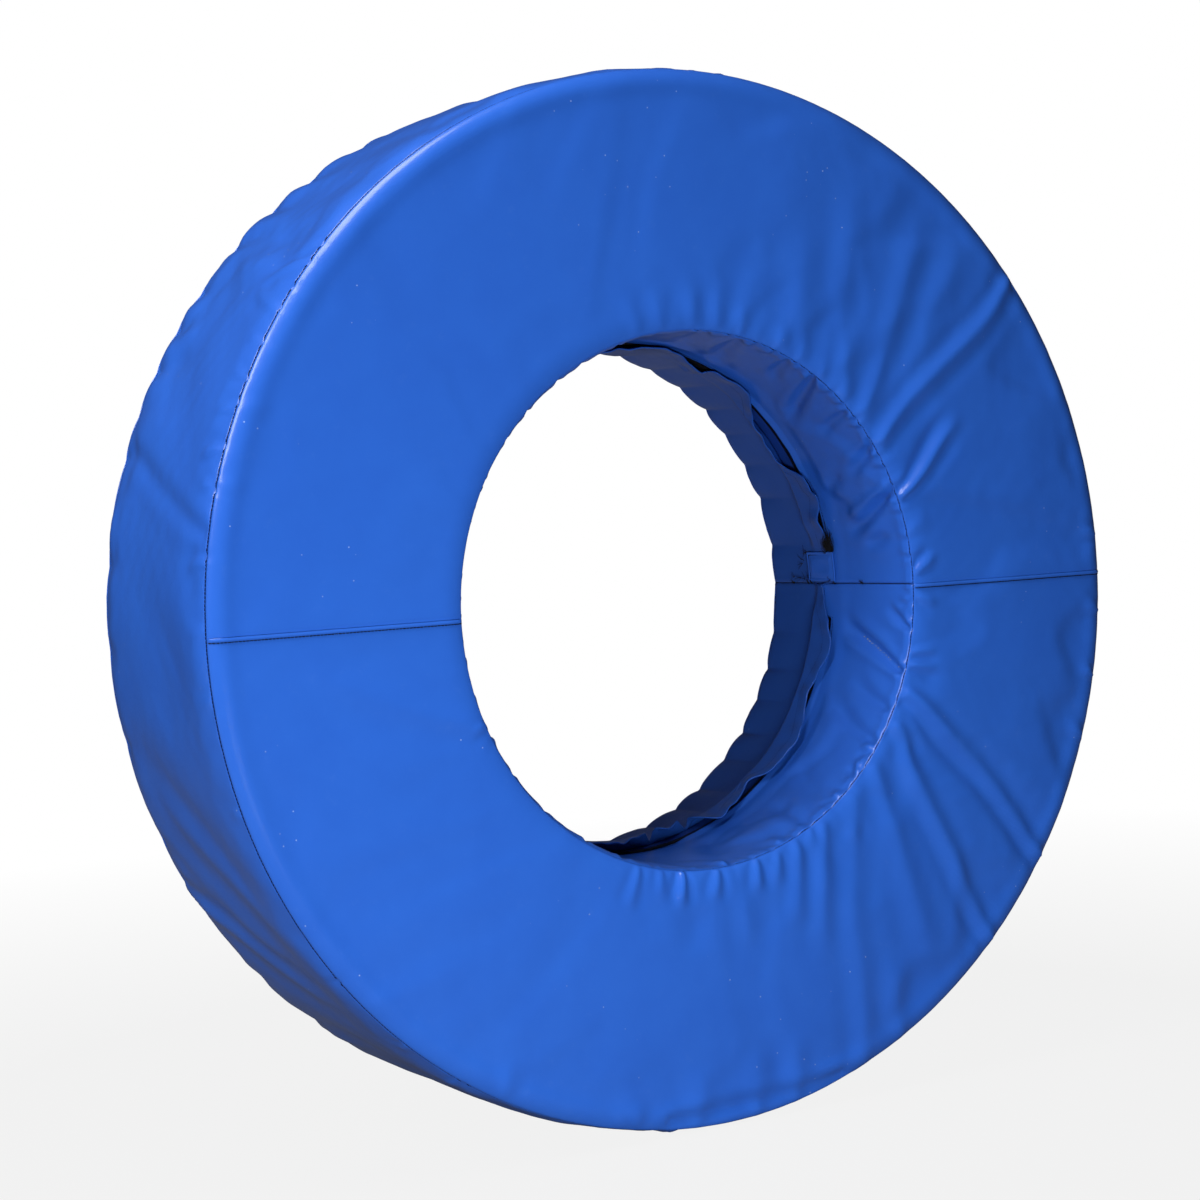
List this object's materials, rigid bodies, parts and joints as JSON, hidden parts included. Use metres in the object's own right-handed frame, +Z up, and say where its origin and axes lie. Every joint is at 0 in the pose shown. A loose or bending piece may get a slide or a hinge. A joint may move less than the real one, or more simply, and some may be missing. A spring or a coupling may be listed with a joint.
{
  "type": "tackling wheel",
  "caption": "Padded tackling wheel: a foam ring in a coated-fabric cover, closed inside the bore by a zip under a flap.",
  "frame": {"origin": "middle of the flat where the wheel stands on its tread, under the middle of the ring", "axes": "+Z up, Y along the wheel's axle line with the front face towards -Y, +X towards the side where the cover's cross seam and the zip's ends are"},
  "size_m": [1.2, 0.3022, 1.1981],
  "materials": {
    "cover_fabric": "semi-gloss coated fabric",
    "foam": "matt open-cell foam",
    "zip_tape": "matt woven tape",
    "zip_coil": "satin nylon",
    "zip_metal": "satin dark plated"
  },
  "bodies": {
    "wheel": {"foam_slab_front": "foam", "foam_slab_middle": "foam", "foam_slab_back": "foam", "face_panel_front_upper": "cover_fabric", "face_panel_front_lower": "cover_fabric", "face_panel_back_upper": "cover_fabric", "face_panel_back_lower": "cover_fabric", "tread_band": "cover_fabric", "bore_strip_front": "cover_fabric", "bore_strip_back": "cover_fabric", "zip_underlap": "cover_fabric", "zip_end_patch": "cover_fabric", "zip_tape_front": "zip_tape", "zip_tape_back": "zip_tape", "zip_coil_front": "zip_coil", "zip_coil_back": "zip_coil", "zip_stop_front": "zip_metal", "zip_stop_back": "zip_metal", "zip_start_box": "zip_metal"},
    "slider": {"zip_slider": "zip_metal"},
    "pull_tab": {"zip_pull_tab": "zip_metal"}
  },
  "joints": [
    {"name": "slider_travel", "type": "hinge", "parent": "wheel", "child": "slider", "pos_m": [0, 0.028, 0.59882], "axis": [0, 1, 0], "range_deg": [0, 330]},
    {"name": "tab_swing", "type": "hinge", "parent": "slider", "child": "pull_tab", "pos_m": [0.29167, 0.028, 0.54225], "axis": [0, 1, 0], "range_deg": [0, 178], "deforming": ["bore_strip_back"]}
  ]
}
